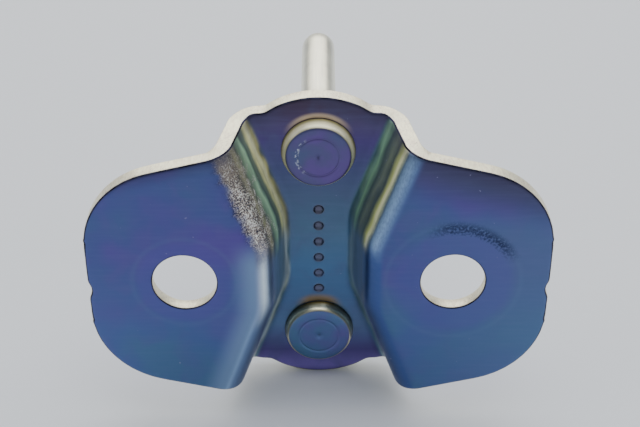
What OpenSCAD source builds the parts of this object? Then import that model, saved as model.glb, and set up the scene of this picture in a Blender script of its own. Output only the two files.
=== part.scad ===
// Latch striker: a stamped mounting plate with a deep waisted channel,
// and a round-bar loop whose two ends are headed over inside the channel.
// X runs through the two mounting holes, Y points from the mounting face
// towards the loop, and Z is up. The origin is midway between the holes.

/* [Sheet] */
// Thickness of the sheet in the wings and the channel floor
sheet_t = 3; // [2.6:0.1:3.4]
// Thickness of the channel walls, which the press draws thinner
wall_t = 2.6; // [2.2:0.1:3]

/* [Wings] */
// Overall width across both wings
plate_w = 79.2; // [77:0.2:84]
// Half height of a wing at the middle of its straight edges
wing_h = 22.6; // [22:0.1:23.2]
// Slope of the upper and lower edges of a wing, in degrees
wing_taper = 13.5; // [10:0.5:16]
// Radius of the outer corners
wing_corner_r = 15; // [8:0.5:16]
// Depth of the locating notch in each outer side
notch_depth = 0.55; // [0.3:0.05:0.8]
// Width of the locating notch
notch_w = 3; // [2.4:0.1:3.6]
// Height of the locating notches above the line of the holes
notch_z = -1.6; // [-4:0.1:4]

/* [Mounting holes] */
// Diameter of the two mounting holes
hole_d = 11; // [8.4:0.1:12]
// Distance between their centres
hole_spacing = 46; // [44:0.5:50]

/* [Channel] */
// Depth from the mounting face to the channel floor
channel_depth = 11.8; // [10.5:0.1:13]
// Width of the mouth at the waist, where wall and wing planes cross
waist_w = 16.7; // [16:0.1:18]
// Height of the straight part of the waist
waist_h = 9; // [8:0.5:12]
// Angle at which each wall flares out above and below the waist
flare_angle = 19.5; // [16:0.5:22]
// Radius of the turn from the waist into the flare, on the mouth line
flare_r = 12; // [10:0.5:16]
// Draft of the walls
wall_draft = 12; // [10:0.5:14]
// Radius of the ridge between wing and wall, on the mounting side
ridge_r = 4.5; // [4:0.1:5]
// Radius of the corner between wall and floor, inside the channel
floor_r = 2; // [1.5:0.1:2.4]

/* [Centre lobes] */
// Half height of the plate over the middle of the channel floor
lobe_h = 29.4; // [28.8:0.1:30]
// Radius of the lobe's edge
lobe_r = 16; // [14:0.5:20]
// Width of the lobe at its foot
lobe_foot_w = 18.4; // [17:0.1:19]
// Width between the cut corners at its top
lobe_top_w = 10; // [9:0.1:12]
// Half height of the shoulders beside the lobe
shoulder_h = 26.4; // [26.2:0.1:26.9]

/* [Loop] */
// Diameter of the round bar
bar_d = 6.4; // [5.6:0.1:7]
// Distance between the centres of the two legs
leg_spacing = 38.2; // [37.4:0.1:38.6]
// Distance from the mounting face to the far side of the crossbar
loop_reach = 62; // [50:0.5:75]
// Radius of the bends, on the middle of the bar
bend_r = 8; // [7:0.5:12]
// Diameter of the flat heads inside the channel
head_d = 12.8; // [11.6:0.1:13]
// Height of the heads
head_h = 2.2; // [1.5:0.1:2.8]
// Radius of the rim of the heads
head_rim_r = 0.9; // [0.5:0.1:1.2]
// Diameter of the collars that bear on the back of the floor
collar_d = 9.8; // [9:0.1:11]
// Height of the collars
collar_h = 1.6; // [1.2:0.1:2.4]

/* [Punch marks] */
// Number of round punch marks in a line along the channel floor
mark_count = 6; // [0:1:7]
// Diameter of a punch mark
mark_d = 1.8; // [1:0.1:2.2]
// Depth of a punch mark
mark_depth = 0.3; // [0.2:0.05:0.5]
// Distance between punch marks
mark_pitch = 3.4; // [3:0.1:3.6]

/* [Hidden] */
$fn = 96;
// Clearance of a bar end in its hole, on the radius
rivet_gap = 0.03;
// Edges that a later cut removes run this far past it
over = 1;
// Number of straight steps round each corner of a section or an outline
corner_steps = 6;
floor_back_y = channel_depth + sheet_t;
mouth_half = waist_w / 2;
floor_half = mouth_half - channel_depth * tan(wall_draft);
// The back of the wall stands this far behind its front, along X
wall_shift = wall_t / cos(wall_draft);
back_mouth_half = mouth_half + wall_shift - sheet_t * tan(wall_draft);
back_floor_half = mouth_half + wall_shift - floor_back_y * tan(wall_draft);
ridge_back_r = ridge_r - wall_t;
floor_back_r = floor_r + wall_t;
// Sections run this far each way, which is past the whole plate
section_reach = 50;
// Rows across the channel: round each turn from waist to flare, and past the ends
turn_steps = 5;
// The straight edges of a wing pass through this point
wing_middle_x = 24;
notch_r = (notch_w * notch_w / 4 + notch_depth * notch_depth) / (2 * notch_depth);
marks_centre_z = -1.2;
// Centre of the turn from the waist into the flare
turn_x = mouth_half + flare_r;
turn_z = waist_h / 2;
upper_rows = concat(
    [for (i = [0 : turn_steps]) turn_z + flare_r * sin(flare_angle * i / turn_steps)], [lobe_h + over]);
row_heights = concat([for (i = [len(upper_rows) - 1 : -1 : 0]) -upper_rows[i]], upper_rows);
// Where the shoulders end, where they reach the wing's edge, and their rounding
shoulder_x = 11.2;
shoulder_foot_x = 12.6;
shoulder_r = 2.5;
leg_end_y = loop_reach - bar_d / 2 - bend_r;
plate_colour = [0.40, 0.47, 0.58];
loop_colour = [0.84, 0.85, 0.82];

function unit(v) = v / norm(v);
function turn(a, b) = a.x * b.y - a.y * b.x;

// Its children and their mirror image.
module with_mirror(axis) {
    children();
    mirror(axis) children();
}

function rotated(v, angle) = [v.x * cos(angle) - v.y * sin(angle), v.x * sin(angle) + v.y * cos(angle)];

// The points that round a corner, or the corner itself where it stays sharp.
function corner_points(corner, before, after, r) =
    let (u = unit(before - corner), v = unit(after - corner))
    let (half_angle = acos(u * v) / 2)
    let (centre = corner + unit(u + v) * r / sin(half_angle))
    let (start = corner + u * r / tan(half_angle) - centre)
    let (sweep = sign(turn(v, u)) * (180 - 2 * half_angle))
    r > 0 ? [for (i = [0 : corner_steps]) centre + rotated(start, sweep * i / corner_steps)] : [corner];

// A polygon, listed anticlockwise, with a radius at each corner.
module rounded_polygon(points, radii) {
    n = len(points);
    polygon([for (i = [0 : n - 1])
        each corner_points(points[i], points[(i + n - 1) % n], points[(i + 1) % n], radii[i])]);
}

// How far the channel's walls have turned from the waist, at height z.
function wall_turn(z) = asin(min(max(abs(z) - turn_z, 0) / flare_r, sin(flare_angle)));

// Half the width of the channel at height z, where the wall plane crosses the
// wing plane: straight at the waist, an arc, then a straight flare.
function mouth_line(z) =
    let (a = wall_turn(z))
    mouth_half + flare_r * (1 - cos(a)) + (max(abs(z) - turn_z, 0) - flare_r * sin(a)) * tan(flare_angle);

// The right half of a surface across the channel, from wing to floor, as
// distance from the middle of the waist and depth.
function half_surface(mouth_x, mouth_y, mouth_r, floor_x, floor_y, corner_r) =
    let (mouth = [mouth_x, mouth_y], corner = [floor_x, floor_y])
    concat(corner_points(mouth, [section_reach, mouth_y], corner, mouth_r),
           corner_points(corner, mouth, [-section_reach, floor_y], corner_r));

// One row of the space in front of a surface, at height z.
function space_row(half, z, front) =
    let (right = [for (p = half) [mouth_line(z) + (p.x - mouth_half) / cos(wall_turn(z)), p.y, z]])
    let (left = [for (i = [len(right) - 1 : -1 : 0]) [-right[i].x, right[i].y, z]])
    concat([[-section_reach, -front, z], [section_reach, -front, z], [section_reach, half[0].y, z]],
           right, left, [[-section_reach, half[0].y, z]]);

// Triangles that fill a row of n points: a fan over the front, then a ladder
// of rungs from the right wall to the left one.
function row_triangles(n) = concat(
    [[0, 1, 2], [0, 2, 3], [0, 3, n - 2], [0, n - 2, n - 1]],
    [for (i = [3 : n / 2 - 1]) each [[i, i + 1, n - i], [i, n - i, n + 1 - i]]]);

// The space in front of a surface: a skin through rows at rising heights.
module space_in_front(half, front = over) {
    rows = [for (z = row_heights) space_row(half, z, front)];
    n = len(rows[0]);
    last = len(rows) - 1;
    sides = [for (j = [0 : last - 1], i = [0 : n - 1])
        let (a = j * n + i, b = j * n + (i + 1) % n)
        each [[a, a + n, b + n], [a, b + n, b]]];
    cap = row_triangles(n);
    far_cap = [for (t = cap) [t[2] + last * n, t[1] + last * n, t[0] + last * n]];
    polyhedron([for (row = rows) each row], concat(sides, cap, far_cap));
}

// The stamped sheet, before its edges are cut: what lies in front of its
// back surface, less what lies in front of its mounting side.
module pressed_sheet() {
    difference() {
        space_in_front(half_surface(back_mouth_half, sheet_t, ridge_back_r,
                                    back_floor_half, floor_back_y, floor_back_r));
        space_in_front(half_surface(mouth_half, 0, ridge_r, floor_half, channel_depth, floor_r), 2 * over);
    }
}

// Half the height of the plate on the line of a wing's straight edges.
function wing_edge(x) = wing_h - (x - wing_middle_x) * tan(wing_taper);

// The cut edge of both wings and the shoulders between them, in X and Z.
module wings_outline() {
    upper = [[plate_w / 2, wing_edge(plate_w / 2)], [shoulder_foot_x, wing_edge(shoulder_foot_x)],
             [shoulder_x, shoulder_h]];
    radii = [wing_corner_r, shoulder_r, shoulder_r];
    lower = [for (i = [2 : -1 : 0]) [upper[i].x, -upper[i].y]];
    right = concat(lower, upper);
    left = [for (i = [5 : -1 : 0]) [-right[i].x, right[i].y]];
    right_radii = concat([for (i = [2 : -1 : 0]) radii[i]], radii);
    rounded_polygon(concat(right, left), concat(right_radii, right_radii));
}

module lobe_outline() {
    intersection() {
        translate([0, lobe_h - lobe_r]) circle(lobe_r);
        polygon([[-lobe_foot_w / 2, 0], [lobe_foot_w / 2, 0], [lobe_foot_w / 2, shoulder_h],
                 [lobe_top_w / 2, lobe_h], [-lobe_top_w / 2, lobe_h], [-lobe_foot_w / 2, shoulder_h]]);
    }
}

module plate_outline() {
    wings_outline();
    with_mirror([0, 1]) lobe_outline();
}

module striker_plate() {
    color(plate_colour) difference() {
        intersection() {
            pressed_sheet();
            translate([0, floor_back_y + over, 0]) rotate([90, 0, 0])
                linear_extrude(floor_back_y + 2 * over) plate_outline();
        }
        for (side = [-1, 1]) {
            translate([side * hole_spacing / 2, -over, 0]) rotate([-90, 0, 0])
                cylinder(d = hole_d, h = sheet_t + 2 * over);
            translate([side * (plate_w / 2 + notch_r - notch_depth), -over, notch_z]) rotate([-90, 0, 0])
                cylinder(r = notch_r, h = sheet_t + 2 * over);
            translate([0, channel_depth - over, side * leg_spacing / 2]) rotate([-90, 0, 0])
                cylinder(d = bar_d + 2 * rivet_gap, h = sheet_t + 2 * over);
        }
        for (i = [0 : 1 : mark_count - 1])
            translate([0, channel_depth - over, marks_centre_z + (i - (mark_count - 1) / 2) * mark_pitch])
                rotate([-90, 0, 0]) cylinder(d = mark_d, h = over + mark_depth);
    }
}

// One leg: head, shank through the floor, collar and bar up to the bend.
module loop_leg() {
    rotate([-90, 0, 0]) {
        rotate_extrude() translate([0, channel_depth - head_h])
            rounded_polygon([[0, 0], [head_d / 2, 0], [head_d / 2, head_h], [0, head_h]],
                            [0, head_rim_r, 0, 0]);
        translate([0, 0, channel_depth - over / 2]) cylinder(d = bar_d, h = leg_end_y - channel_depth + over / 2);
        translate([0, 0, floor_back_y]) cylinder(d = collar_d, h = collar_h);
    }
}

module striker_loop() {
    crossbar_length = leg_spacing - 2 * bend_r;
    color(loop_colour) {
        for (end = [-1, 1])
            translate([0, 0, end * leg_spacing / 2]) loop_leg();
        with_mirror([0, 0, 1]) translate([0, leg_end_y, leg_spacing / 2 - bend_r]) rotate([0, -90, 0])
            rotate_extrude(angle = 90) translate([bend_r, 0]) circle(d = bar_d);
        translate([0, leg_end_y + bend_r, -crossbar_length / 2]) cylinder(d = bar_d, h = crossbar_length);
    }
}

striker_plate();
striker_loop();
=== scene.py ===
import math
import bpy
import numpy as np
from mathutils import Matrix, Vector
from mathutils.geometry import delaunay_2d_cdt


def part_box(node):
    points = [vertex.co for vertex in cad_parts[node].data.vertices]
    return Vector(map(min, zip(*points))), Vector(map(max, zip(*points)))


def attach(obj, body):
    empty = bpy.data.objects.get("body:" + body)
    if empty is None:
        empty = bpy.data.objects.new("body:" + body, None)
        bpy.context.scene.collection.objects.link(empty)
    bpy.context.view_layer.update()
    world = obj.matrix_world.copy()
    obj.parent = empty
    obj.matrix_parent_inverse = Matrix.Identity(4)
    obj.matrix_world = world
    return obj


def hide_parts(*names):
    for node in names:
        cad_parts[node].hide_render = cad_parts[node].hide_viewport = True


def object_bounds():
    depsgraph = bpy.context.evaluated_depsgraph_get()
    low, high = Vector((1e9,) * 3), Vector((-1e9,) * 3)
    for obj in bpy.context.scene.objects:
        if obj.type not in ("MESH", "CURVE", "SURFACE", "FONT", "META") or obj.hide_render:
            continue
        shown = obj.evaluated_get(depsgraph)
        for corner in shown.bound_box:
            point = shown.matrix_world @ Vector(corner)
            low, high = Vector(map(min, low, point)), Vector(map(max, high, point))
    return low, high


# Looks of a latch striker. Lengths are in millimetres and are scaled by MM
# when a mesh, light or camera is made. The axes and the origin are the CAD
# model's: X along the line of the bolt holes, Y away from the mounting face
# towards the loop, Z up.
MM = 0.001

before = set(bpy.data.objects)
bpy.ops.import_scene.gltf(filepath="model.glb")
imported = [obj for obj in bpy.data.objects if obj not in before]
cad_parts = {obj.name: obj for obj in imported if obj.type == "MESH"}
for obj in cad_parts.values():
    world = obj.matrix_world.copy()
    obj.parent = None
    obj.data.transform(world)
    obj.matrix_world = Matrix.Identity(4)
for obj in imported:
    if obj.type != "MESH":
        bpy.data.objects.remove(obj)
cad_low, cad_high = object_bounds()
plate_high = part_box("striker_plate")[1] / MM
loop_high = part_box("striker_loop")[1] / MM

# ---------------------------------------------------------------- dimensions
# Sheet, and the channel's section square to its walls
SHEET_T = 3.0
WALL_T = 2.6
FLOOR_BACK_Y = plate_high.y
CHANNEL_DEPTH = FLOOR_BACK_Y - SHEET_T
DRAFT = math.radians(12)
MOUTH_HALF = 8.35
RIDGE_R = 4.5
FLOOR_R = 2.0
# Channel in plan: a straight waist, an arc and a straight flare each way
WAIST_HALF_H = 4.5
FLARE = math.radians(19.5)
FLARE_R = 12.0
# Height from which a straight flare stands in for the arc, for the colours
FLARE_FROM_Z = 6.5
# The run over which the back of the wing falls in line with its front
LAG_RUN = 4
# Outline: a round lobe, a level shoulder beside it, and the tapered wing.
# Each corner has its place and its radius.
HALF_W = plate_high.x
LOBE_H = plate_high.z
LOBE_R = 16.0
LOBE_END_X = 7.3
LOBE_END_R = 0.8
LOBE_FOOT_X = 9.2
LOBE_FOOT_R = 1.0
SHOULDER_H = 26.4
SHOULDER_X = 11.2
SHOULDER_R = 1.6
SHOULDER_FOOT_X = 12.6
SHOULDER_FOOT_R = 2.2
WING_H = 22.6
WING_MIDDLE_X = 24.0
WING_TAPER = math.radians(13.5)
WING_CORNER_R = 15.0
NOTCH_Z = -1.6
NOTCH_R = 2.32
NOTCH_DEPTH = 0.55
# Holes and punch marks
HOLE_X = 23.0
HOLE_R = 5.5
SHANK_GAP = 0.03
MARK_R = 0.9
MARK_DEPTH = 0.3
MARK_COUNT = 6
MARK_PITCH = 3.4
MARKS_MIDDLE = -1.2
MARK_ZS = [MARKS_MIDDLE + (i - (MARK_COUNT - 1) / 2) * MARK_PITCH for i in range(MARK_COUNT)]
# Loop
BAR_R = 3.2
LEG_Z = 19.1
BEND_R = 8.0
LOOP_REACH = loop_high.y
LEG_END_Y = LOOP_REACH - BAR_R - BEND_R
HEAD_H = 2.2
HEAD_FOOT_R = 6.4
HEAD_FACE_Y = CHANNEL_DEPTH - HEAD_H
COLLAR_R = 4.9
COLLAR_H = 1.6


# --------------------------------------------------------- camera and lights
def make_camera():
    """Stands in front and above, looking down on the mounting side."""
    data = bpy.data.cameras.new("camera")
    data.lens = 70.3
    data.sensor_width = 36
    data.clip_start = 0.01
    camera = bpy.data.objects.new("camera", data)
    bpy.context.scene.collection.objects.link(camera)
    elevation, yaw, roll = (math.radians(a) for a in (32.65, -0.02, -0.17))
    distance = 206.4
    target = Vector((0.25, 0, 14.03))
    ahead = Vector((
        math.sin(yaw) * math.cos(elevation), math.cos(yaw) * math.cos(elevation), -math.sin(elevation),
    ))
    level = Vector((math.cos(yaw), -math.sin(yaw), 0))
    above = level.cross(ahead)
    right = level * math.cos(roll) + above * math.sin(roll)
    up = above * math.cos(roll) - level * math.sin(roll)
    turn = Matrix((right, up, -ahead)).transposed().to_4x4()
    camera.matrix_world = Matrix.Translation((target - ahead * distance) * MM) @ turn
    bpy.context.scene.camera = camera


def area_light(name, place, target, size, radiance, colour=(1, 1, 1)):
    """A soft box whose radiance doesn't depend on its size."""
    data = bpy.data.lights.new(name, "AREA")
    data.shape = "RECTANGLE"
    data.size, data.size_y = size[0] * MM, size[1] * MM
    data.energy = radiance * math.pi * data.size * data.size_y
    data.color = colour
    light = bpy.data.objects.new(name, data)
    bpy.context.scene.collection.objects.link(light)
    light.location = Vector(place) * MM
    light.rotation_euler = (Vector(target) - Vector(place)).to_track_quat("-Z", "Y").to_euler()


# ------------------------------------------------------- channel's surfaces
def unit(v):
    return v / np.linalg.norm(v)


def turned(v, angle):
    """A vector in the plane turned anticlockwise."""
    c, s = math.cos(angle), math.sin(angle)
    return np.array([v[0] * c - v[1] * s, v[0] * s + v[1] * c])


def corner_points(corner, before, after, radius, steps=10):
    """The arc that rounds a corner of an outline, as points."""
    corner, before, after = (np.array(p, float) for p in (corner, before, after))
    if radius == 0:
        return [corner]
    u, v = unit(before - corner), unit(after - corner)
    half = math.acos(u @ v) / 2
    centre = corner + unit(u + v) * radius / math.sin(half)
    start = corner + u * radius / math.tan(half) - centre
    turn = math.copysign(math.pi - 2 * half, v[0] * u[1] - v[1] * u[0])
    return [centre + turned(start, a) for a in np.linspace(0, turn, steps + 1)]


def rounded(points, radii):
    """A closed outline with each corner rounded by its own radius."""
    n = len(points)
    out = []
    for i in range(n):
        out += corner_points(points[i], points[i - 1], points[(i + 1) % n], radii[i])
    return np.array(out)


class Chain:
    """One surface across the channel: floor, arc, wall, arc, wing. It is
    measured by the distance n from the middle of the waist and the depth y."""

    def __init__(self, mouth, mouth_r, floor, floor_r):
        self.turn = math.pi / 2 - DRAFT
        reach = math.tan(self.turn / 2)
        wall = unit(np.array(mouth) - np.array(floor))
        self.floor_end = floor[0] - floor_r * reach
        self.wall_low = np.array(floor) + wall * floor_r * reach
        self.wall_high = np.array(mouth) - wall * mouth_r * reach
        self.wing_start = mouth[0] + mouth_r * reach
        self.floor_y, self.floor_r = floor[1], floor_r
        self.mouth_y, self.mouth_r = mouth[1], mouth_r
        wall_run = np.linalg.norm(self.wall_high - self.wall_low)
        self.marks = np.cumsum([0, floor_r * self.turn, wall_run, mouth_r * self.turn])

    def bend_points(self, part, share):
        """Points a share of the way along the floor arc, wall or ridge arc."""
        if part == 0:
            a = math.pi / 2 - share * self.turn
            return self.floor_end + self.floor_r * np.cos(a), self.floor_y - self.floor_r * (1 - np.sin(a))
        if part == 1:
            p = self.wall_low + (self.wall_high - self.wall_low) * share[:, None]
            return p[:, 0], p[:, 1]
        a = math.pi + DRAFT + share * self.turn
        return self.wing_start + self.mouth_r * np.cos(a), self.mouth_y + self.mouth_r * (1 + np.sin(a))


def wall_corner(y, out=0.0):
    """Where a wall's line, moved out by a distance, reaches the depth y."""
    return MOUTH_HALF + out - y * math.tan(DRAFT), y


WALL_SHIFT = WALL_T / math.cos(DRAFT)
FRONT = Chain(wall_corner(0), RIDGE_R, wall_corner(CHANNEL_DEPTH), FLOOR_R)
BACK = Chain(
    wall_corner(SHEET_T, WALL_SHIFT), RIDGE_R - WALL_T,
    wall_corner(FLOOR_BACK_Y, WALL_SHIFT), FLOOR_R + WALL_T,
)


def wall_turn(z):
    """How far the walls have turned out of the vertical at height z."""
    rise = np.maximum(np.abs(z) - WAIST_HALF_H, 0)
    return np.arcsin(np.minimum(rise / FLARE_R, math.sin(FLARE)))


def mouth_line(z):
    """X of the channel's mouth at height z."""
    turn = wall_turn(z)
    rise = np.maximum(np.abs(z) - WAIST_HALF_H, 0)
    return MOUTH_HALF + FLARE_R * (1 - np.cos(turn)) + (rise - FLARE_R * np.sin(turn)) * math.tan(FLARE)


def middle_n(z):
    """The section's n that falls on the plane X = 0 at height z."""
    return MOUTH_HALF - mouth_line(z) * np.cos(wall_turn(z))


def surface(chain, run, z):
    """X and Y of a surface a run along the section from its middle."""
    start = middle_n(z) - FRONT.floor_end
    sigma = np.abs(run) + start
    n = np.empty_like(sigma)
    y = np.empty_like(sigma)
    flat = sigma < 0
    middle = middle_n(z[flat])
    n[flat] = middle + (chain.floor_end - middle) * (sigma[flat] - start[flat]) / -start[flat]
    y[flat] = chain.floor_y
    for part in range(3):
        here = (sigma >= FRONT.marks[part]) & (sigma < FRONT.marks[part + 1])
        share = (sigma[here] - FRONT.marks[part]) / (FRONT.marks[part + 1] - FRONT.marks[part])
        n[here], y[here] = chain.bend_points(part, share)
    wing = sigma >= FRONT.marks[3]
    past = sigma[wing] - FRONT.marks[3]
    lag = chain.wing_start - FRONT.wing_start
    n[wing] = FRONT.wing_start + past + lag * np.clip(1 - past / LAG_RUN, 0, 1)
    y[wing] = chain.mouth_y
    x = mouth_line(z) + (n - MOUTH_HALF) / np.cos(wall_turn(z))
    return np.sign(run) * x, y


def sheet_points(run, z, depth):
    """Points in the sheet, with depth 0 on the mounting side and 1 behind."""
    run, z, depth = (np.asarray(a, float) for a in (run, z, depth))
    fx, fy = surface(FRONT, run, z)
    bx, by = surface(BACK, run, z)
    return np.stack([fx + (bx - fx) * depth, fy + (by - fy) * depth, z], 1)


# Runs at which X is worked out when a run is looked up from it
RUNS = np.linspace(0, 70, 7001)


def run_of(x, z):
    """The run at which the mounting side passes over X at height z."""
    xs, _ = surface(FRONT, RUNS, np.full_like(RUNS, z))
    return math.copysign(np.interp(abs(x), xs, RUNS), x)


# ------------------------------------------------------------ plate's outline
def wing_edge(x):
    """Height of the wing's straight upper edge at X."""
    return WING_H - (x - WING_MIDDLE_X) * math.tan(WING_TAPER)


def outline_xz():
    """The cut edge in X and Z, anticlockwise from the bottom of the plate."""
    lobe_angle = math.asin(LOBE_END_X / LOBE_R)
    lobe = [
        (LOBE_R * math.sin(a), LOBE_H - LOBE_R + LOBE_R * math.cos(a), 0)
        for a in np.linspace(0, lobe_angle, 12)
    ]
    lobe[-1] = lobe[-1][:2] + (LOBE_END_R,)
    upper = lobe + [
        (LOBE_FOOT_X, SHOULDER_H, LOBE_FOOT_R),
        (SHOULDER_X, SHOULDER_H, SHOULDER_R),
        (SHOULDER_FOOT_X, wing_edge(SHOULDER_FOOT_X), SHOULDER_FOOT_R),
        (HALF_W, wing_edge(HALF_W), WING_CORNER_R),
    ]
    notch_x = HALF_W + NOTCH_R - NOTCH_DEPTH
    half_chord = math.acos((NOTCH_R - NOTCH_DEPTH) / NOTCH_R)
    notch = [
        (notch_x - NOTCH_R * math.cos(a), NOTCH_Z + NOTCH_R * math.sin(a), 0)
        for a in np.linspace(-half_chord, half_chord, 9)
    ]
    lower = [(x, -z, r) for x, z, r in upper]
    right = lower + notch + upper[::-1]
    left = [(-x, z, r) for x, z, r in right[::-1]]
    whole = right[:-1] + left[:-1]
    return rounded([p[:2] for p in whole], [p[2] for p in whole])


def resample(loop, spacing):
    """Evenly spaced points round a closed loop."""
    closed = np.vstack([loop, loop[:1]])
    along = np.concatenate([[0], np.cumsum(np.linalg.norm(np.diff(closed, axis=0), axis=1))])
    count = max(12, int(round(along[-1] / spacing)))
    at = np.linspace(0, along[-1], count, endpoint=False)
    return np.stack([np.interp(at, along, closed[:, i]) for i in range(2)], 1)


def soften(loop, passes):
    """A closed loop with its corners smoothed a little in each pass."""
    for _ in range(passes):
        loop = (np.roll(loop, 1, 0) + 2 * loop + np.roll(loop, -1, 0)) / 4
    return loop


def inward(loop):
    """Unit vectors to the left of a loop, which is into the metal."""
    ahead = np.roll(loop, -1, 0) - np.roll(loop, 1, 0)
    ahead /= np.linalg.norm(ahead, axis=1)[:, None]
    return np.stack([-ahead[:, 1], ahead[:, 0]], 1)


def to_runs(loop):
    """A loop in X and Z, as runs and Z."""
    return np.array([[run_of(x, z), z] for x, z in loop])


def circle(centre, radius, count):
    """Clockwise, so that the metal is on its left."""
    a = -np.linspace(0, 2 * math.pi, count, endpoint=False)
    return np.stack([centre[0] + radius * np.cos(a), centre[1] + radius * np.sin(a)], 1)


def inside(points, loop):
    """Which points lie inside a loop, by counting the sides passed."""
    crossed = np.zeros(len(points), bool)
    for (ax, ay), (bx, by) in zip(loop, np.roll(loop, -1, 0)):
        if ay == by:
            continue
        between = (points[:, 1] > ay) != (points[:, 1] > by)
        crossed ^= between & (points[:, 0] < ax + (points[:, 1] - ay) * (bx - ax) / (by - ay))
    return crossed


def gap_to(points, loop):
    """Distance from each point to the nearest corner of a loop."""
    best = np.full(len(points), 1e9)
    for start in range(0, len(loop), 50):
        step = loop[start:start + 50]
        best = np.minimum(best, np.linalg.norm(points[:, None] - step[None], axis=2).min(1))
    return best


# --------------------------------------------------------------- plate's mesh
# Distance in from a cut edge, and how deep the surface has rolled over there
FRONT_ROLL = [(0.0, 0.42), (0.05, 0.27), (0.14, 0.16), (0.28, 0.07), (0.48, 0.02), (0.75, 0.0)]
HOLE_ROLL = [(0.0, 0.34), (0.04, 0.21), (0.11, 0.12), (0.22, 0.05), (0.38, 0.015), (0.6, 0.0)]
BACK_ROLL = [(0.0, 0.14), (0.03, 0.07), (0.09, 0.02), (0.16, 0.0), (0.4, 0.0), (0.7, 0.0)]
# How far the bolt holes break out behind, on the radius
BREAKOUT = 0.35
# Shares of the sheet's thickness at which a cut edge has a ring of points
WALL_DEPTHS = [0.25, 0.42, 0.58, 0.74, 0.88]
# Spacing of the points over the faces, and how near to a rim they stop
GRID = 0.55
RIM_CLEARANCE = GRID * 0.55
# Rings of points in and round a punch mark, as shares of its radius, and the
# share inside which there are no other points
MARK_RINGS = (0.3, 0.6, 0.8, 0.93, 1.03, 1.2)
MARK_KEPT_CLEAR = 1.35
# Twice the area of the largest triangle that is left out as a sliver
SLIVER = 2e-3
# Slots of the plate's materials
SKIN, CUT, REAR, LIP = range(4)
FRONT_BANDS = (CUT, LIP, LIP, SKIN, SKIN)
BACK_BANDS = (CUT, REAR, REAR, REAR, REAR)


def mesh_object(name, place, faces, skins=None):
    """An object from points in millimetres. Skins are its faces' materials."""
    data = bpy.data.meshes.new(name)
    data.from_pydata([tuple(p * MM) for p in place], [], faces)
    if skins is not None:
        data.polygons.foreach_set("material_index", skins)
    data.polygons.foreach_set("use_smooth", [True] * len(faces))
    data.update()
    data.set_sharp_from_angle(angle=math.radians(45))
    piece = bpy.data.objects.new(name, data)
    bpy.context.scene.collection.objects.link(piece)
    return piece


class SheetMesh:
    """Points in the sheet, as a plan of run and Z with a depth, and faces."""

    def __init__(self):
        self.points, self.depths, self.faces, self.skins = [], [], [], []

    def add(self, plan, depth):
        first = len(self.points)
        self.points.extend(plan)
        self.depths.extend(np.broadcast_to(depth, len(plan)))
        return np.arange(first, first + len(plan))

    def band(self, a, b, skin):
        for i in range(len(a)):
            j = (i + 1) % len(a)
            self.faces.append((a[i], a[j], b[j], b[i]))
            self.skins.append(skin)

    def rims_and_wall(self, loop, roll, breakout):
        """Rolled rims and the wall between them, round the outline or a hole.
        The rims on which the faces start are returned, front and back."""
        turn = inward(loop)
        front = [self.add(loop + turn * d, drop / SHEET_T) for d, drop in roll]
        back = [self.add(loop + turn * (breakout + d), 1 - drop / SHEET_T) for d, drop in BACK_ROLL]
        walls = [self.add(loop + turn * breakout * max(0, 2 * depth - 1), depth) for depth in WALL_DEPTHS]
        for k in range(len(front) - 1):
            self.band(front[k], front[k + 1], FRONT_BANDS[k])
            self.band(back[k + 1], back[k], BACK_BANDS[k])
        column = [back[0]] + walls[::-1] + [front[0]]
        for a, b in zip(column, column[1:]):
            self.band(a, b, CUT)
        return front[-1], back[-1]

    def fill(self, rims, add_inner, skin):
        """A face between rims: the outline's first, and then the holes'."""
        plan = np.array(self.points)
        rim_plans = [plan[r] for r in rims]
        ids = np.concatenate(rims + [add_inner(inner_grid(rim_plans))])
        edges, start = [], 0
        for rim in rims:
            n = len(rim)
            edges += [(start + i, start + (i + 1) % n) for i in range(n)]
            start += n
        flat = np.array(self.points)[ids]
        out = delaunay_2d_cdt([Vector(p) for p in flat], edges, [], 0, 1e-6)
        flat = np.array([tuple(v) for v in out[0]])
        origin = [o[0] for o in out[3]]
        triangles = np.array(out[2])
        sides = flat[triangles[:, 1:]] - flat[triangles[:, :1]]
        good = within(flat[triangles].mean(1), rim_plans)
        good &= np.abs(sides[:, 0, 0] * sides[:, 1, 1] - sides[:, 0, 1] * sides[:, 1, 0]) > SLIVER
        for t in triangles[good]:
            corner = [ids[origin[i]] for i in t]
            self.faces.append(tuple(corner if skin == SKIN else corner[::-1]))
            self.skins.append(skin)

    def fill_front(self, grid):
        """Points over the mounting side, with the dished punch marks."""
        marks = [(0, z) for z in MARK_ZS]
        for mark in marks:
            grid = grid[np.linalg.norm(grid - mark, axis=1) > MARK_R * MARK_KEPT_CLEAR]
        rings = [circle(mark, MARK_R * share, 20) for mark in marks for share in MARK_RINGS]
        grid = np.vstack([grid, np.array(marks)] + rings)
        away = np.min([np.linalg.norm(grid - mark, axis=1) for mark in marks], axis=0) / MARK_R
        dish = MARK_DEPTH * np.clip(1 - away ** 3, 0, 1)
        raised_rim = 0.05 * np.exp(-((away - 1.1) / 0.1) ** 2)
        return self.add(grid, (dish - raised_rim) / SHEET_T)

    def fill_back(self, grid):
        return self.add(grid, 1.0)


def within(points, loops):
    """Which points lie inside the first loop and outside the others."""
    good = inside(points, loops[0])
    for loop in loops[1:]:
        good &= ~inside(points, loop)
    return good


def inner_grid(loops):
    """Points in staggered rows between loops, clear of all of them."""
    reach = np.abs(loops[0]).max(0) + GRID
    runs, zs = (np.arange(-r, r, GRID) for r in reach)
    grid = np.array([(run + (i % 2) * GRID / 2, z) for i, z in enumerate(zs) for run in runs])
    keep = within(grid, loops)
    for loop in loops:
        keep &= gap_to(grid, loop) > RIM_CLEARANCE
    return grid[keep]


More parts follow.
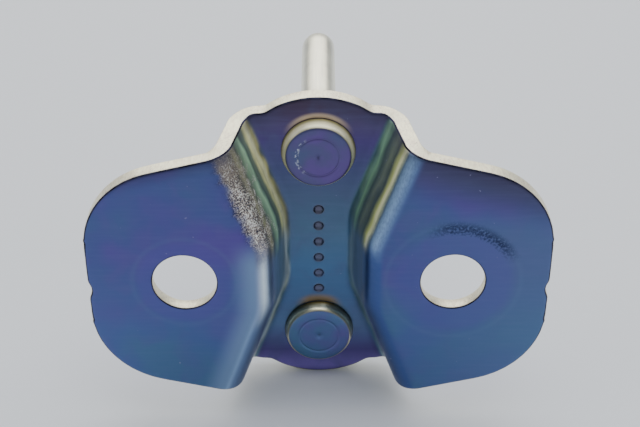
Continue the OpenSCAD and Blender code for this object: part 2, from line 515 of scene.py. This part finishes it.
def make_plate():
    """The stamped sheet as one closed mesh."""
    edge = soften(resample(to_runs(resample(outline_xz(), 0.05)), 0.4), 2)
    cuts = [(edge, FRONT_ROLL, 0)]
    cuts += [(circle((run_of(s * HOLE_X, 0), 0), HOLE_R, 96), HOLE_ROLL, BREAKOUT) for s in (-1, 1)]
    cuts += [(circle((0, s * LEG_Z), BAR_R + SHANK_GAP, 48), HOLE_ROLL, 0) for s in (-1, 1)]
    sheet = SheetMesh()
    front_rims, back_rims = zip(*[sheet.rims_and_wall(*cut) for cut in cuts])
    sheet.fill(list(front_rims), sheet.fill_front, SKIN)
    sheet.fill(list(back_rims), sheet.fill_back, REAR)
    plan = np.array(sheet.points)
    place = sheet_points(plan[:, 0], plan[:, 1], np.array(sheet.depths))
    plate = mesh_object("plate", place, sheet.faces, sheet.skins)
    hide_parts("striker_plate")
    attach(plate, "root")
    for material in (plate_skin(), cut_edge(), plate_back(), rolled_edge()):
        plate.data.materials.append(material)


# ----------------------------------------------------------------- bar's loop
# Height over the channel's floor and radius, down the side of each head: the
# upper one is coned, and the lower one is steeper
UPPER_HEAD = [(2.13, 5.5), (2.02, 5.66), (1.86, 5.79), (1.6, 5.92), (1.2, 6.08), (0.8, 6.22), (0.4, 6.36)]
LOWER_HEAD = [(2.13, 5.45), (2.05, 5.66), (1.91, 5.84), (1.72, 5.97), (1.4, 6.1), (1.0, 6.2), (0.6, 6.3)]
GROOVE_R = 3.65
LOOP_SIDES = 72


def end_profile(side):
    """Distance behind the channel's floor and radius, from the middle of the
    head's face to the leg."""
    face, back, top = -HEAD_H, SHEET_T, SHEET_T + COLLAR_H
    # The middle's pit, and the groove that the heading tool left
    out = [(face, 0.0), (face + 0.1, 0.12), (face, 0.3), (face, 1.2), (face, 2.4), (face, 3.3)]
    out += [(face + 0.1 * (1 - abs(r - GROOVE_R) / 0.25), r) for r in (3.4, 3.52, GROOVE_R, 3.78, 3.9)]
    out += [(face, 4.2), (face + 0.01, 4.8), (face + 0.03, 5.15)]
    # The head's side and foot, and the shank
    out += [(-height, r) for height, r in side]
    out += [(-0.2, HEAD_FOOT_R), (-0.08, HEAD_FOOT_R), (0.0, HEAD_FOOT_R - 0.1)]
    out += [(0.0, BAR_R + 0.3), (0.0, BAR_R)]
    # The collar, rounded at both ends, and a fillet to the leg
    out += [(back, BAR_R), (back, BAR_R + 0.3), (back, COLLAR_R - 0.3), (back + 0.08, COLLAR_R - 0.1)]
    out += [(back + 0.25, COLLAR_R), (top - 0.5, COLLAR_R), (top - 0.18, COLLAR_R - 0.12)]
    out += [(top, COLLAR_R - 0.45), (top, BAR_R + 0.5), (top + 0.15, BAR_R + 0.15), (top + 0.5, BAR_R)]
    return out


def half_loop(side):
    """Rings from the middle of a head to the middle of the crossbar, as a
    centre, a radius and how far the bar has turned."""
    rings = [((CHANNEL_DEPTH + s, LEG_Z), r, 0.0) for s, r in end_profile(side)]
    leg_start = rings[-1][0][0]
    rings += [((y, LEG_Z), BAR_R, 0.0) for y in np.linspace(leg_start, LEG_END_Y, 25)[1:]]
    bend = (LEG_END_Y, LEG_Z - BEND_R)
    rings += [
        ((bend[0] + BEND_R * math.sin(a), bend[1] + BEND_R * math.cos(a)), BAR_R, a)
        for a in np.linspace(0, math.pi / 2, 25)[1:]
    ]
    return rings + [((bend[0] + BEND_R, z), BAR_R, math.pi / 2) for z in np.linspace(bend[1], 0, 12)[1:]]


def turned_skin(rings):
    """Points and faces of a closed skin over rings. The first ring and the
    last one have no radius, so they are single points."""
    angle = np.linspace(0, 2 * math.pi, LOOP_SIDES, endpoint=False)
    place = []
    for (y, z), r, a in rings[1:-1]:
        across, outward = r * np.cos(angle), r * np.sin(angle)
        place.append(np.stack([across, y + outward * math.sin(a), z + outward * math.cos(a)], 1))
    starts = [k * LOOP_SIDES for k in range(len(place) + 1)]
    around = [(i, (i + 1) % LOOP_SIDES) for i in range(LOOP_SIDES)]
    faces = [(k + i, n + i, n + j, k + j) for k, n in zip(starts, starts[1:-1]) for i, j in around]
    last, first_tip, last_tip = starts[-2], starts[-1], starts[-1] + 1
    for i, j in around:
        faces.append((first_tip, i, j))
        faces.append((last_tip, last + j, last + i))
    tips = [[(0, *rings[k][0])] for k in (0, -1)]
    return np.vstack(place + tips), faces


def make_loop():
    """Head, shank, collar, leg, bend and crossbar as one turned skin."""
    rings = half_loop(UPPER_HEAD)
    rings += [((y, -z), r, math.pi - a) for (y, z), r, a in half_loop(LOWER_HEAD)[-2::-1]]
    loop = mesh_object("bar_loop", *turned_skin(rings))
    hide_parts("striker_loop")
    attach(loop, "root")
    loop.data.materials.append(bar_metal())


# ------------------------------------------------------------------ materials
def linear(c):
    """A channel of a colour, out of 255, as linear light."""
    c /= 255
    return c / 12.92 if c <= 0.04045 else ((c + 0.055) / 1.055) ** 2.4


def metal_colour(colour, gain):
    """A colour out of 255, scaled for how much light the metal mirrors."""
    return (*(min(1.0, lift * linear(c)) for c, lift in zip(colour, gain)), 1.0)


def seen(*colour):
    """On faces that are open to the light."""
    return metal_colour(colour, (1.36, 1.11, 1.17))


def deep(*colour):
    """On the channel's walls, where the coating is partly matt."""
    return metal_colour(colour, (1.9, 1.8, 1.8))


def shaded(*colour):
    """At the channel's lower end, which mirrors the shaded ground below."""
    return metal_colour(colour, (5.0, 4.2, 3.9))


def pale(*colour):
    """On bright metal, as it is."""
    return metal_colour(colour, (1.0, 1.0, 1.0))


def stops(tone, *rows):
    """Stops of a ramp. Each row is a place and the colour there."""
    return [(row[0], tone(*row[1:])) for row in rows]


class Metal:
    """A metal whose colour and relief depend on the place on the object."""

    def __init__(self, name):
        self.material = bpy.data.materials.new(name)
        self.material.use_nodes = True
        self.tree = self.material.node_tree
        self.tree.nodes.clear()
        self.shader = self.node("BsdfPrincipled")
        output = self.node("OutputMaterial", Surface=self.shader.outputs[0])
        output.is_active_output = True
        place = self.node("TexCoord").outputs["Object"]
        scaled = self.node("VectorMath")
        scaled.operation = "SCALE"
        self.tree.links.new(place, scaled.inputs[0])
        scaled.inputs["Scale"].default_value = 1 / MM
        self.place = scaled.outputs[0]
        split = self.node("SeparateXYZ", Vector=self.place)
        self.x, self.y, self.z = split.outputs

    def node(self, kind, **values):
        node = self.tree.nodes.new("ShaderNode" + kind)
        for key, value in values.items():
            self.put(node.inputs[key], value)
        return node

    def put(self, socket, value):
        if isinstance(value, bpy.types.NodeSocket):
            self.tree.links.new(value, socket)
        else:
            socket.default_value = value

    def maths(self, operation, *values):
        node = self.node("Math")
        node.operation = operation
        for socket, value in zip(node.inputs, values):
            self.put(socket, value)
        return node.outputs[0]

    def plus(self, a, b):
        return self.maths("ADD", a, b)

    def minus(self, a, b):
        return self.maths("SUBTRACT", a, b)

    def times(self, *values):
        out = values[0]
        for value in values[1:]:
            out = self.maths("MULTIPLY", out, value)
        return out

    def size(self, value):
        """A value without its sign."""
        return self.maths("ABSOLUTE", value)

    def length(self, a, b):
        """Length of the hypotenuse over two sides."""
        return self.maths("SQRT", self.plus(self.times(a, a), self.times(b, b)))

    def distance(self, x, z):
        """How far away a place is, seen along Y."""
        return self.length(self.minus(self.x, x), self.minus(self.z, z))

    def map_range(self, value, low, high, low_to=0.0, high_to=1.0, kind="LINEAR"):
        node = self.node("MapRange")
        node.interpolation_type = kind
        for socket, v in zip(node.inputs, (value, low, high, low_to, high_to)):
            self.put(socket, v)
        return node.outputs[0]

    def rise(self, value, at_0, at_1):
        """0 on one side, 1 on the other, and smooth between two values."""
        if at_0 < at_1:
            return self.map_range(value, at_0, at_1, kind="SMOOTHSTEP")
        return self.map_range(value, at_1, at_0, 1.0, 0.0, "SMOOTHSTEP")

    def hump(self, value, low, middle_low, middle_high, high):
        """1 over the middle and 0 outside low and high."""
        return self.times(self.rise(value, low, middle_low), self.rise(value, high, middle_high))

    def noise(self, size, detail=3.0, stretch=(1, 1, 1), offset=0.0, distortion=0.0):
        """Noise whose patches are about size across, in millimetres."""
        node = self.node("Mapping", Vector=self.place)
        node.inputs["Location"].default_value = (offset, offset, offset)
        node.inputs["Scale"].default_value = [v / size for v in stretch]
        made = self.node("TexNoise", Vector=node.outputs[0], Scale=1.0, Detail=detail, Distortion=distortion)
        return made.outputs[0]

    def ramp(self, value, colours):
        """Colours that blend from stop to stop, with the stops from 0 to 1."""
        node = self.node("ValToRGB", Fac=value)
        elements = node.color_ramp.elements
        while len(elements) < len(colours):
            elements.new(0.5)
        for element, (at, colour) in zip(elements, colours):
            element.position = at
            element.color = colour
        return node.outputs[0]

    def scale_ramp(self, value, low, high, colours):
        """A ramp whose stops lie from low to high."""
        share = self.map_range(value, low, high)
        return self.ramp(share, [((at - low) / (high - low), colour) for at, colour in colours])

    def mix(self, share, a, b):
        """The colour a with a share of it replaced by b."""
        node = self.node("Mix")
        node.data_type = "RGBA"
        self.put(node.inputs[0], share)
        self.put(node.inputs[6], a)
        self.put(node.inputs[7], b)
        return node.outputs[2]

    def relief(self, layers):
        """Bumps laid over each other. A layer is a height from 0 to 1, and
        what 1 stands for in millimetres."""
        normal = None
        for height, size in layers:
            node = self.node("Bump", Height=height, Distance=size * MM)
            if normal is not None:
                self.tree.links.new(normal, node.inputs["Normal"])
            normal = node.outputs[0]
        self.put(self.shader.inputs["Normal"], normal)

    def finish(self, colour, roughness, layers, metallic=1.0):
        self.put(self.shader.inputs["Base Color"], colour)
        self.put(self.shader.inputs["Roughness"], roughness)
        self.put(self.shader.inputs["Metallic"], metallic)
        self.relief(layers)
        return self.material


# Colours down the channel's walls, by depth. They are partly the coating's own colours and partly painted
# light: pale lines and bands that stand for highlights and reflections. The lower left has two sets, and the
# second is for its lower end.
# Upper left: a cream band low on the wall is a painted highlight, and the light green band above it is
# partly one
UPPER_LEFT = stops(seen, (0.0, 80, 92, 122), (1.2, 138, 150, 156)) + stops(
    deep,
    (2.6, 118, 120, 92), (3.8, 64, 74, 64), (5.0, 96, 124, 100), (6.4, 130, 168, 136), (7.4, 66, 84, 76),
    (8.7, 92, 108, 92), (9.6, 204, 198, 140), (10.7, 236, 224, 158), (11.3, 146, 146, 106),
    (11.7, 70, 82, 96),
)
# Upper right: a painted lavender highlight on the ridge and a painted yellow-green highlight line at the top
# of the wall
UPPER_RIGHT = stops(
    seen,
    (0.0, 68, 90, 142), (0.2, 84, 114, 156), (0.8, 118, 160, 192), (1.7, 92, 122, 142),
) + stops(
    deep,
    (2.4, 236, 244, 160), (3.2, 140, 150, 92), (4.6, 46, 58, 58), (6.6, 84, 96, 84), (8.4, 54, 70, 70),
    (10.2, 106, 146, 120), (11.5, 58, 84, 96),
)
LOWER_WALL = stops(
    deep,
    (3.6, 82, 102, 128), (7.0, 76, 98, 118), (10.0, 98, 120, 134), (11.0, 150, 166, 166),
    (11.6, 76, 106, 122),
)
# Lower left: a painted pale highlight along the ridge
LOWER_LEFT = stops(
    seen,
    (0.0, 100, 126, 162), (0.3, 136, 166, 190), (0.8, 198, 234, 238), (1.5, 146, 178, 194),
    (2.4, 92, 116, 150),
) + LOWER_WALL
# Its lower end, where the painted ridge highlight is dimmer and lies nearer the wing
LOWEST_LEFT = stops(
    seen,
    (0.0, 110, 150, 184), (0.25, 126, 168, 200), (0.6, 98, 132, 166), (1.2, 82, 112, 146),
    (2.4, 76, 98, 132),
) + LOWER_WALL
LOWER_RIGHT = stops(seen, (0.0, 60, 88, 138), (2.0, 58, 84, 126)) + stops(
    deep, (4.0, 64, 78, 100), (9.0, 72, 90, 114), (11.0, 96, 118, 132), (11.6, 66, 96, 120),
)
# Depth at the end of the walls' scale of colours
WALL_SCALE = 12


class PlateSkin(Metal):
    """Passivated zinc: blue to violet on the wings, greener in the channel,
    and scuffed pale where the die rubbed the left ridge."""

    def __init__(self):
        super().__init__("plate_zinc_front")
        self.ax = self.size(self.x)
        self.az = self.size(self.z)
        self.left_half = self.rise(self.x, 1, -1)
        self.right_half = self.rise(self.x, -1, 1)
        self.upper_half = self.rise(self.z, 0, 1)
        self.haze = self.noise(5, 4.0, offset=11.0, distortion=0.6)
        flared = self.maths("MAXIMUM", self.minus(self.az, FLARE_FROM_Z), 0.0)
        mouth = self.plus(MOUTH_HALF, self.times(flared, math.tan(FLARE)))
        self.beyond_mouth = self.minus(self.ax, mouth)
        # A height that is the same all along a wing's tapered edge
        self.edge_height = self.plus(self.az, self.times(self.ax, math.tan(WING_TAPER)))
        # The scuff on the left ridge, with its ragged side and its specks
        self.ragged = self.noise(1.6, 4.0, offset=19.0)
        self.speck = self.noise(0.23, 3.0, offset=2.0)
        self.frayed = self.plus(self.beyond_mouth, self.times(self.ragged, 2.8))
        self.scuff = self.times(
            self.hump(self.frayed, -0.4, 1.6, 2.6, 6.2),
            self.rise(self.plus(self.z, self.times(self.ragged, 5.0)), 6.5, 11.5),
            self.rise(self.z, 28, 21),
            self.left_half,
        )

    def wings(self):
        """Clouds of blue and violet, teal on the right, dark along the top and
        pale beside the lower left ridge, where the ridge's painted highlight spreads onto the wing."""
        cloud = self.noise(17, 2.5, offset=3.0)
        high = self.ramp(cloud, stops(seen, (0.36, 66, 92, 130), (0.5, 68, 84, 133), (0.64, 78, 76, 138)))
        low = self.ramp(cloud, stops(seen, (0.36, 76, 80, 138), (0.48, 68, 90, 137), (0.62, 66, 102, 130)))
        violet = self.times(self.rise(self.haze, 0.45, 0.7), 0.35)
        teal = self.times(self.rise(self.x, 12, 30), self.rise(self.z, 17, 8), 0.6)
        blue = self.times(self.rise(self.z, 2, -12), 0.35)
        dark = self.times(self.rise(self.edge_height, 19, 27), self.upper_half, self.rise(self.x, -30, 30))
        by_mouth = self.rise(self.beyond_mouth, 7.5, 2.2)
        # A painted halo of the lower left ridge's highlight, pale on the wing beside it
        ridge_highlight_halo = self.times(by_mouth, self.left_half, self.rise(self.z, 9, 3), 0.8)
        out = self.mix(self.rise(self.z, 8, -12), high, low)
        out = self.mix(violet, out, seen(82, 82, 138))
        out = self.mix(teal, out, seen(76, 104, 134))
        out = self.mix(blue, out, seen(66, 102, 142))
        out = self.mix(dark, out, seen(64, 72, 98))
        return self.mix(ridge_highlight_halo, out, seen(110, 148, 176))

    def with_washer_rings(self, colour):
        """Violet rings, pale outside, where bolt flanges pressed."""
        for side, inner, outer in ((-1, 7.4, 8.9), (1, 9.0, 11.6)):
            r = self.distance(side * HOLE_X, 0)
            pressed = self.times(self.hump(r, 5.0, 6.0, inner, outer), 0.4)
            rim = self.times(self.hump(r, outer - 0.7, outer, outer, outer + 0.8), 0.14)
            colour = self.mix(pressed, colour, seen(76, 80, 146))
            colour = self.mix(rim, colour, seen(84, 116, 150))
        return colour

    def with_rub(self, colour):
        """A dark grainy rub over the right hole."""
        grain = self.noise(0.45, 3.0, offset=7.0)
        r = self.plus(self.distance(HOLE_X, 0), self.times(grain, 2.2))
        rub = self.times(
            self.hump(r, 10.6, 11.8, 12.4, 13.8),
            self.rise(self.z, 3.5, 7.5),
            self.rise(self.x, HOLE_X - 5.5, HOLE_X - 0.5),
            self.rise(grain, 0.3, 0.6),
            0.9,
        )
        return self.mix(rub, colour, seen(38, 50, 78))

    def floor(self):
        """The channel's floor: violet at its ends and blue-green between."""
        out = self.scale_ramp(self.z, -30, 30, stops(shaded, (-28, 66, 62, 108)) + stops(
            seen, (-24, 80, 78, 130), (-18, 80, 112, 144), (-12, 68, 102, 136), (-5, 66, 106, 138),
            (3, 70, 104, 126), (10, 68, 92, 116), (16, 66, 78, 112), (21, 70, 68, 114), (28, 74, 68, 84),
        ))
        hazy = self.times(self.rise(self.haze, 0.42, 0.66), 0.35)
        corners = self.times(self.rise(self.ax, 4, 9), self.rise(self.z, 20, 26), 0.5)
        out = self.mix(hazy, out, seen(74, 90, 120))
        return self.mix(corners, out, seen(76, 84, 116))

    def with_painted_head_reflections(self, colour):
        """Warm colour above each head: a painted reflection of the head's side in the floor."""
        for z, tint, width, reach in (
            (-LEG_Z, seen(124, 112, 66), 2.1, 4.8), (LEG_Z, seen(196, 190, 152), 1.3, 6.4),
        ):
            rim = (HEAD_FOOT_R + d for d in (0, 0.2, 0.35 * width, width))
            above = self.times(self.rise(self.z, z, z + 5.0), self.rise(self.ax, reach, reach / 3))
            colour = self.mix(self.times(self.hump(self.distance(0, z), *rim), above, 0.75), colour, tint)
        return colour

    def with_punch_marks(self, colour):
        """Greyer metal in the row of punch marks."""
        along = self.minus(self.z, MARKS_MIDDLE)
        from_mark = self.minus(self.maths("WRAP", along, MARK_PITCH, 0.0), MARK_PITCH / 2)
        in_mark = self.rise(self.length(from_mark, self.x), 1.35 * MARK_R, 0.85 * MARK_R)
        row_half = MARK_COUNT / 2 * MARK_PITCH
        in_row = self.rise(self.size(along), row_half + 0.7, row_half)
        return self.mix(self.times(in_mark, in_row, 0.6), colour, seen(88, 84, 92))

    def walls(self):
        """The channel's walls and ridges, in bands that stray in depth, some of them painted highlights and
        reflections.
        """
        stray = self.minus(self.noise(4.0, 1.5, stretch=(1, 1, 0.6), offset=47.0), 0.5)
        depth = self.plus(self.y, self.times(stray, 2.4, self.rise(self.y, 0.8, 4.0)))
        upper_left, upper_right, lower_left, lowest_left, lower_right = (
            self.scale_ramp(depth, 0, WALL_SCALE, colours)
            for colours in (UPPER_LEFT, UPPER_RIGHT, LOWER_LEFT, LOWEST_LEFT, LOWER_RIGHT)
        )
        lower_left = self.mix(self.rise(self.z, -3, -12), lower_left, lowest_left)
        upper = self.mix(self.right_half, upper_left, upper_right)
        lower = self.mix(self.right_half, lower_left, lower_right)
        height = self.minus(self.plus(self.z, self.times(self.haze, 5.0)), self.times(self.right_half, 1.5))
        in_upper = self.rise(height, 4.0, 9.0)
        streaks = self.noise(1.2, 3.0, stretch=(1, 1, 0.12), offset=37.0)
        streaked = self.times(self.rise(streaks, 0.42, 0.66), self.rise(self.y, 2.5, 4), 0.3)
        mottle = self.noise(0.35, 3.0, stretch=(1, 1, 0.5), offset=53.0)
        on_ridge = self.times(self.hump(self.y, 0.02, 0.3, 1.6, 2.8), in_upper, 0.3)
        out = self.mix(in_upper, lower, upper)
        out = self.mix(streaked, out, deep(54, 64, 74))
        return self.mix(self.times(on_ridge, self.rise(mottle, 0.42, 0.62)), out, seen(74, 98, 130))

    def with_scuff(self, colour):
        """Bright and dark specks of torn plating, and a dark fringe."""
        heaped = self.plus(self.speck, self.times(self.minus(self.ragged, 0.5), 0.35))
        torn = self.ramp(heaped, stops(
            seen, (0.32, 34, 40, 58), (0.42, 92, 98, 102), (0.52, 160, 160, 142), (0.62, 255, 252, 232),
        ))
        torn = self.mix(self.times(self.rise(self.z, 16, 22), 0.55), torn, seen(130, 132, 116))
        fringe = self.ramp(heaped, stops(seen, (0.4, 26, 32, 56), (0.54, 68, 84, 132)))
        torn = self.mix(self.rise(self.frayed, 2.8, 4.8), torn, fringe)
        share = self.times(self.scuff, self.rise(self.plus(self.speck, self.scuff), 0.6, 1.15))
        return self.mix(share, colour, torn)

    def with_edge_reflection_and_nicks(self, colour):
        """Painted dark reflection along the top of the wings and lobe, and pale nicks."""
        dark_edge_reflection = self.times(self.rise(self.edge_height, 25.2, 28.6), self.upper_half, 0.5)
        nick = self.rise(self.noise(0.9, 1.0, offset=29.0), 0.765, 0.79)
        colour = self.mix(dark_edge_reflection, colour, seen(52, 52, 70))
        return self.mix(self.times(nick, 0.35), colour, seen(140, 152, 184))


def plate_skin():
    """The mounting side: wings, walls and floor, with the marks of wear and painted highlights and
    reflections.
    """
    m = PlateSkin()
    wings = m.with_rub(m.with_washer_rings(m.wings()))
    floor = m.with_punch_marks(m.with_painted_head_reflections(m.floor()))
    skin = m.mix(m.rise(m.y, 0.02, 0.35), wings, m.walls())
    skin = m.mix(m.rise(m.y, 11.3, 11.75), skin, floor)
    skin = m.with_edge_reflection_and_nicks(m.with_scuff(skin))
    fine = m.noise(0.25, 3.0, offset=5.0)
    lines = m.noise(0.6, 3.0, stretch=(0.08, 1, 1), offset=13.0)
    skin = m.mix(m.times(m.rise(lines, 0.4, 0.75), 0.06), skin, seen(104, 122, 160))
    roughness = m.plus(m.plus(0.27, m.times(m.haze, 0.14)), m.times(m.scuff, 0.15))
    matt = m.times(m.hump(m.y, 1.8, 3.0, 10.8, 11.7), 0.8)
    layers = [(fine, 0.006), (lines, 0.005), (m.noise(3.5, 3.0), 0.05), (m.times(m.scuff, m.speck), 0.07)]
    return m.finish(skin, roughness, layers, m.minus(1.0, matt))


def cut_edge():
    """Sheared metal: pale and streaked through the sheet, with dark grit."""
    m = Metal("plate_zinc_cut")
    streak = m.noise(0.35, 3.0, stretch=(1, 0.25, 1), offset=4.0)
    patch = m.noise(3.5, 4.0, offset=9.0)
    grit = m.noise(0.28, 2.0, offset=21.0)
    stained = m.times(m.rise(patch, 0.45, 0.7), 0.25)
    gritty = m.times(m.rise(grit, 0.56, 0.68), m.rise(patch, 0.4, 0.6), 0.5)
    colour = m.ramp(streak, stops(pale, (0.35, 238, 230, 206), (0.6, 255, 251, 224)))
    colour = m.mix(stained, colour, pale(214, 200, 190))
    colour = m.mix(gritty, colour, pale(150, 146, 138))
    roughness = m.plus(0.36, m.times(patch, 0.2))
    return m.finish(colour, roughness, [(streak, 0.012), (grit, 0.03), (patch, 0.05)], 0.75)


def rolled_edge():
    """The lip that the blanking tool rolled over, painted dark as a reflection of the dark surroundings in
    front of it.
    """
    m = Metal("plate_zinc_lip")
    patch = m.noise(1.5, 4.0, offset=15.0)
    colour = m.ramp(patch, stops(seen, (0.38, 30, 34, 46), (0.62, 58, 64, 86)))
    roughness = m.plus(0.34, m.times(patch, 0.2))
    return m.finish(colour, roughness, [(patch, 0.04), (m.noise(0.25, 3.0), 0.01)])


def plate_back():
    """The back of the sheet: the same zinc, paler and less handled."""
    m = Metal("plate_zinc_back")
    cloud = m.noise(14, 3.0, offset=23.0)
    haze = m.noise(4, 4.0, offset=31.0, distortion=0.6)
    lines = m.noise(0.6, 3.0, stretch=(0.08, 1, 1), offset=17.0)
    colour = m.ramp(cloud, stops(seen, (0.34, 108, 126, 152), (0.5, 112, 122, 158), (0.64, 126, 128, 152)))
    colour = m.mix(m.times(m.rise(haze, 0.45, 0.7), 0.4), colour, seen(134, 144, 144))
    colour = m.mix(m.times(m.rise(lines, 0.4, 0.75), 0.15), colour, seen(140, 152, 176))
    roughness = m.plus(0.28, m.times(haze, 0.16))
    layers = [(m.noise(0.25, 3.0), 0.006), (lines, 0.006), (m.noise(3.5, 3.0), 0.05)]
    return m.finish(colour, roughness, layers)


def head_side(m, cloud):
    """Colour down the side of a head, from its face to its foot: a painted highlight part way down, and
    painted shade towards the foot.
    """
    depth = m.plus(m.y, m.times(m.minus(cloud, 0.5), 0.8))
    down = stops(
        pale,
        (0.1, 182, 178, 146), (0.6, 255, 250, 216), (1.2, 246, 238, 196), (1.7, 176, 170, 122),
        (2.1, 110, 106, 76),
    )
    colours = [(HEAD_FACE_Y + at, colour) for at, colour in down]
    return m.scale_ramp(depth, HEAD_FACE_Y, CHANNEL_DEPTH, colours)


def head_face(m, cloud):
    """Violet on the upper head's face and bluer on the lower one's."""
    upper = m.ramp(cloud, stops(seen, (0.36, 72, 88, 120), (0.5, 78, 84, 122), (0.64, 86, 80, 132)))
    lower = m.ramp(cloud, stops(seen, (0.36, 72, 112, 140), (0.5, 78, 104, 144), (0.64, 86, 94, 146)))
    return m.mix(m.rise(m.z, -3, 3), lower, upper)


def bar_metal():
    """Drawn bar: pale zinc with marks along its length, blue on the heads."""
    m = Metal("bar_zinc")
    cloud = m.noise(6, 3.0, offset=8.0)
    colour = m.ramp(cloud, stops(pale, (0.35, 234, 232, 214), (0.6, 250, 248, 230)))
    # The sides of the heads carry painted highlight and shade
    colour = m.mix(m.rise(m.y, CHANNEL_DEPTH + 1, CHANNEL_DEPTH), colour, head_side(m, cloud))
    colour = m.mix(m.rise(m.y, HEAD_FACE_Y + 0.22, HEAD_FACE_Y + 0.08), colour, head_face(m, cloud))
    # Glints along the left of the upper head's groove
    groove = m.times(
        m.hump(m.distance(0, LEG_Z), 3.3, 3.6, 3.9, 4.2), m.rise(m.x, -1.8, -3.0), m.rise(m.y, 10, 9.8),
    )
    glints = m.rise(m.noise(0.5, 2.0, offset=41.0), 0.48, 0.6)
    colour = m.mix(m.times(groove, glints, 0.55), colour, pale(214, 220, 236))
    drawn = m.noise(0.4, 3.0, stretch=(1, 0.03, 1), offset=6.0)
    drawn_lines = m.times(m.rise(drawn, 0.45, 0.75), 0.25, m.rise(m.y, 12, 16))
    colour = m.mix(drawn_lines, colour, pale(176, 180, 184))
    fine = m.noise(0.3, 3.0, offset=12.0)
    roughness = m.plus(0.26, m.times(cloud, 0.16))
    on_side = m.hump(m.y, HEAD_FACE_Y + 0.08, HEAD_FACE_Y + 0.25, CHANNEL_DEPTH, CHANNEL_DEPTH + 0.5)
    matt = m.times(on_side, m.rise(m.z, -2, 2), 0.6)
    layers = [(fine, 0.008), (drawn, 0.01), (m.noise(2.5, 2.0), 0.03)]
    return m.finish(colour, roughness, layers, m.minus(1.0, matt))


# ---------------------------------------------------------------- surroundings
FLOOR_HALF = 1500


def make_floor():
    """A plain pale floor at the part's lowest point."""
    low = cad_low.z / MM
    corners = [(x * FLOOR_HALF, y * FLOOR_HALF, low) for x, y in ((-1, -1), (1, -1), (1, 1), (-1, 1))]
    floor = mesh_object("floor", np.array(corners), [(0, 1, 2, 3)])
    material = bpy.data.materials.new("floor")
    material.use_nodes = True
    shader = material.node_tree.nodes["Principled BSDF"]
    shader.inputs["Base Color"].default_value = (0.74, 0.77, 0.82, 1)
    shader.inputs["Roughness"].default_value = 0.85
    floor.data.materials.append(material)


def make_lights():
    """Four soft boxes and a dim, faintly blue surround."""
    area_light("overhead", (40, 60, 420), (0, 0, 0), (560, 480), 2.1)
    area_light("rear", (-40, 520, 330), (0, 0, 0), (700, 300), 2.8, (1.0, 0.97, 0.89))
    area_light("left", (-420, -60, 160), (0, 0, 0), (160, 240), 1.6)
    area_light("right", (420, 60, 220), (0, 0, 0), (160, 240), 1.2)
    world = bpy.data.worlds.new("world")
    world.use_nodes = True
    world.node_tree.nodes["Background"].inputs[0].default_value = (0.9, 0.94, 1.0, 1)
    world.node_tree.nodes["Background"].inputs[1].default_value = 0.45
    bpy.context.scene.world = world


make_camera()
make_plate()
make_loop()
make_floor()
make_lights()
